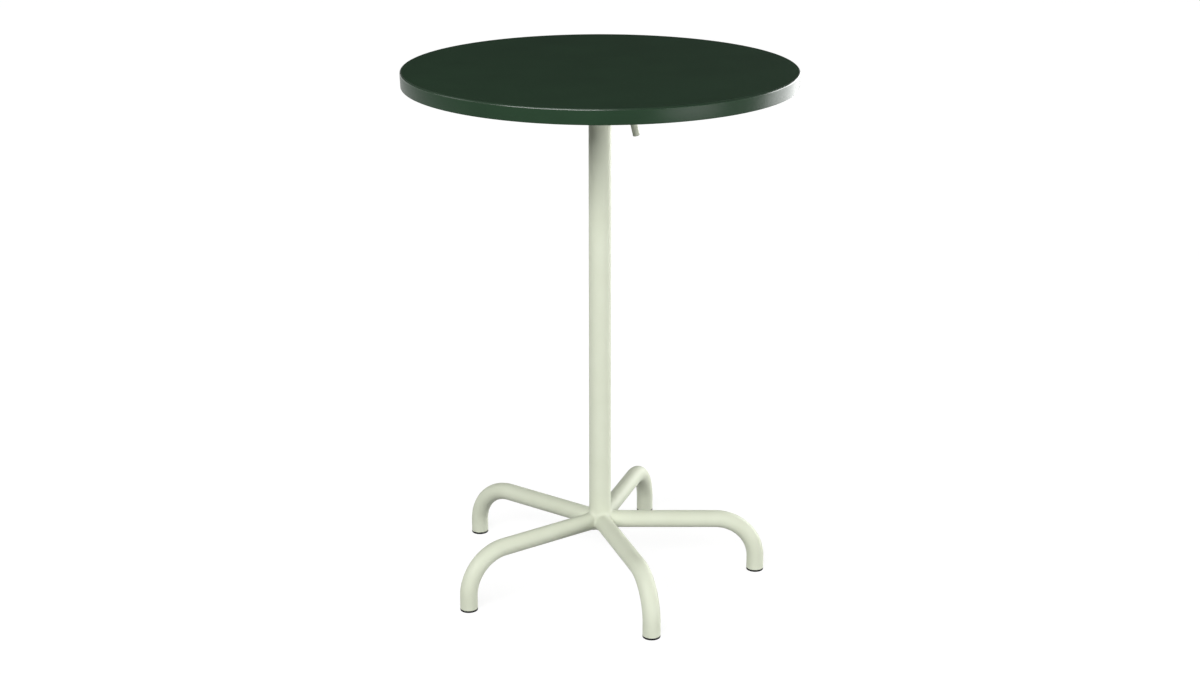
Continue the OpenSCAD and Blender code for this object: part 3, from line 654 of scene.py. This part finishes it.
RAIL_Z = 1.083
SCREW_X = (-0.172, -0.104, 0.104, 0.172)
SCREW_Y = (-0.0478, 0.0478)
BOSS_TIP_R, BOSS_ROOT_R = 0.01, 0.011
INSERT_R = 0.0045
HOLE_H, HOLE_MIDDLE = 0.012, 0.005
holes = []
for x, y in [(x, y) for x in SCREW_X for y in SCREW_Y]:
    boss = bmesh.new()
    bmesh.ops.create_cone(boss, cap_ends=True, segments=48, radius1=BOSS_TIP_R, radius2=BOSS_ROOT_R,
                          depth=under + BURY - RAIL_Z,
                          matrix=Matrix.Translation((x, y, (under + BURY + RAIL_Z) / 2)))
    ribs.append(boss)
    hole = bmesh.new()
    bmesh.ops.create_cone(hole, cap_ends=True, segments=32, radius1=INSERT_R, radius2=INSERT_R, depth=HOLE_H,
                          matrix=Matrix.Translation((x, y, RAIL_Z + HOLE_MIDDLE)))
    holes.append(hole)

top = joined(joined(top, ribs, "UNION"), holes, "DIFFERENCE")
rim_finish = moulded_polyester("polyester_satin_rim", matt=0.36, satin=0.32, specular=0.13, relief=0.03)
face_finish = moulded_polyester("polyester_grained_face", matt=0.66, satin=0.58, specular=0.12, relief=0.15)
edge_finish = moulded_polyester("polyester_rubbed_edge", matt=0.26, satin=0.22, specular=0.8, relief=0.03)
moulding = show("top_moulding", top, rim_finish, "top", ["table_top"])
moulding.data.materials.append(face_finish)
moulding.data.materials.append(edge_finish)
FACE, EDGE = 1, 2
for face in moulding.data.polygons:
    if face.center.z > TOP_Z - 0.00001:
        face.material_index = FACE
    elif face.center.z > TOP_Z - EDGE_R * 0.8:
        face.material_index = EDGE


# The studio
# A pale floor that is evenly white to the camera, and a dim room whose walls are white up to the horizon. The
# broad key lamp stands in front on the left, with a weak one beside it and one overhead. A low one in front on
# the right and two tall ones behind it light the rim's right half and the column's edge.

FLOOR_R = 200
WHITE = linear("#FFFFFF")

floor_mesh = bpy.data.meshes.new("floor")
floor_form = bmesh.new()
bmesh.ops.create_circle(floor_form, cap_ends=True, segments=96, radius=FLOOR_R)
floor_form.to_mesh(floor_mesh)
floor_form.free()
floor = bpy.data.objects.new("floor", floor_mesh)
bpy.context.scene.collection.objects.link(floor)
floor_material, tree = new_material("pale_floor")
rays = add(tree, "ShaderNodeLightPath", {})
shown = add(tree, "ShaderNodeMath", {0: rays.outputs["Is Camera Ray"], 1: rays.outputs["Is Glossy Ray"]},
            operation="MAXIMUM")
shown = add(tree, "ShaderNodeMath", {0: shown.outputs["Value"], 1: rays.outputs["Is Transmission Ray"]},
            operation="MAXIMUM")
place = add(tree, "ShaderNodeTexCoord", {}).outputs["Object"]
away = add(tree, "ShaderNodeVectorMath", {0: place}, operation="LENGTH").outputs["Value"]
level = add(tree, "ShaderNodeMapRange", {
    "Value": away, "From Min": 0.6, "From Max": 4.5, "To Min": 0.85, "To Max": 0.97},
    interpolation_type="SMOOTHSTEP")
floor_paint = add(tree, "ShaderNodeBsdfDiffuse", {"Color": linear("#808080")})
bright = add(tree, "ShaderNodeEmission", {"Color": WHITE, "Strength": level.outputs["Result"]})
lit = add(tree, "ShaderNodeAddShader", {0: floor_paint.outputs["BSDF"], 1: bright.outputs["Emission"]})
above = add(tree, "ShaderNodeMixShader", {"Fac": shown.outputs["Value"], 1: floor_paint.outputs["BSDF"],
                                          2: lit.outputs["Shader"]})
side = add(tree, "ShaderNodeNewGeometry", {})
clear = add(tree, "ShaderNodeBsdfTransparent", {})
both = add(tree, "ShaderNodeMixShader", {"Fac": side.outputs["Backfacing"], 1: above.outputs["Shader"],
                                         2: clear.outputs["BSDF"]})
add(tree, "ShaderNodeOutputMaterial", {"Surface": both.outputs["Shader"]})
floor_mesh.materials.append(floor_material)

world = bpy.data.worlds.new("room")
bpy.context.scene.world = world
world.use_nodes = True
world.node_tree.nodes.clear()
tree = world.node_tree
look = add(tree, "ShaderNodeTexCoord", {}).outputs["Generated"]
up = add(tree, "ShaderNodeSeparateXYZ", {"Vector": look}).outputs["Z"]
band = add(tree, "ShaderNodeMapRange", {
    "Value": up, "From Min": 0.01, "From Max": 0.085, "To Min": 1.0, "To Max": 0.12},
    interpolation_type="SMOOTHSTEP")
room = add(tree, "ShaderNodeBackground", {"Color": WHITE, "Strength": band.outputs["Result"]})
add(tree, "ShaderNodeOutputWorld", {"Surface": room.outputs["Background"]})


def lamp(name, around, above, distance, target_z, width, height, power):
    """A soft rectangular lamp that faces the table and isn't seen itself. It stands around degrees from the
    front towards the right and above degrees up, at distance from the column's axis at target_z."""
    light = bpy.data.lights.new(name, "AREA")
    light.shape = "RECTANGLE"
    light.size, light.size_y = width, height
    light.energy = power
    around, above = math.radians(around), math.radians(above)
    target = Vector((0, 0, target_z))
    reach = Vector((math.sin(around) * math.cos(above), -math.cos(around) * math.cos(above), math.sin(above)))
    holder = bpy.data.objects.new(name, light)
    holder.location = target + reach * distance
    holder.rotation_euler = (-reach).to_track_quat("-Z", "Y").to_euler()
    holder.visible_camera = False
    bpy.context.scene.collection.objects.link(holder)


# name, degrees round, degrees up, distance, height aimed at, width, height, watts
lamp("lamp_key", -28, 30, 5.4, 0.65, 5.1, 2.1, 289)
lamp("lamp_left", -90, 30, 3.6, 0.7, 1.4, 1.4, 11)
lamp("lamp_top", -25, 75, 3.6, 0.7, 1.4, 1.4, 12)
lamp("lamp_low_right", 50, 0, 3.0, 0.5, 1.6, 0.9, 40)
lamp("lamp_side_right", 108, 0, 3.0, 0.82, 0.6, 1.6, 16)
lamp("lamp_back_right", 131, 0, 3.0, 0.92, 2.4, 1.8, 75)


# The camera
# It stands straight in front, higher than the top, and looks down by 18.5 degrees. Its place, tilt and lens were
# fitted to the outlines of the top, the column and the feet in the photograph.

camera = bpy.data.objects.new("camera", bpy.data.cameras.new("camera"))
camera.location = (0, -3.8727, 1.8277)
camera.rotation_euler = (math.radians(71.486), 0, 0)
camera.data.sensor_width = 36
camera.data.lens = 58.515
bpy.context.scene.collection.objects.link(camera)
bpy.context.scene.camera = camera
bpy.context.scene.view_settings.view_transform = "Standard"
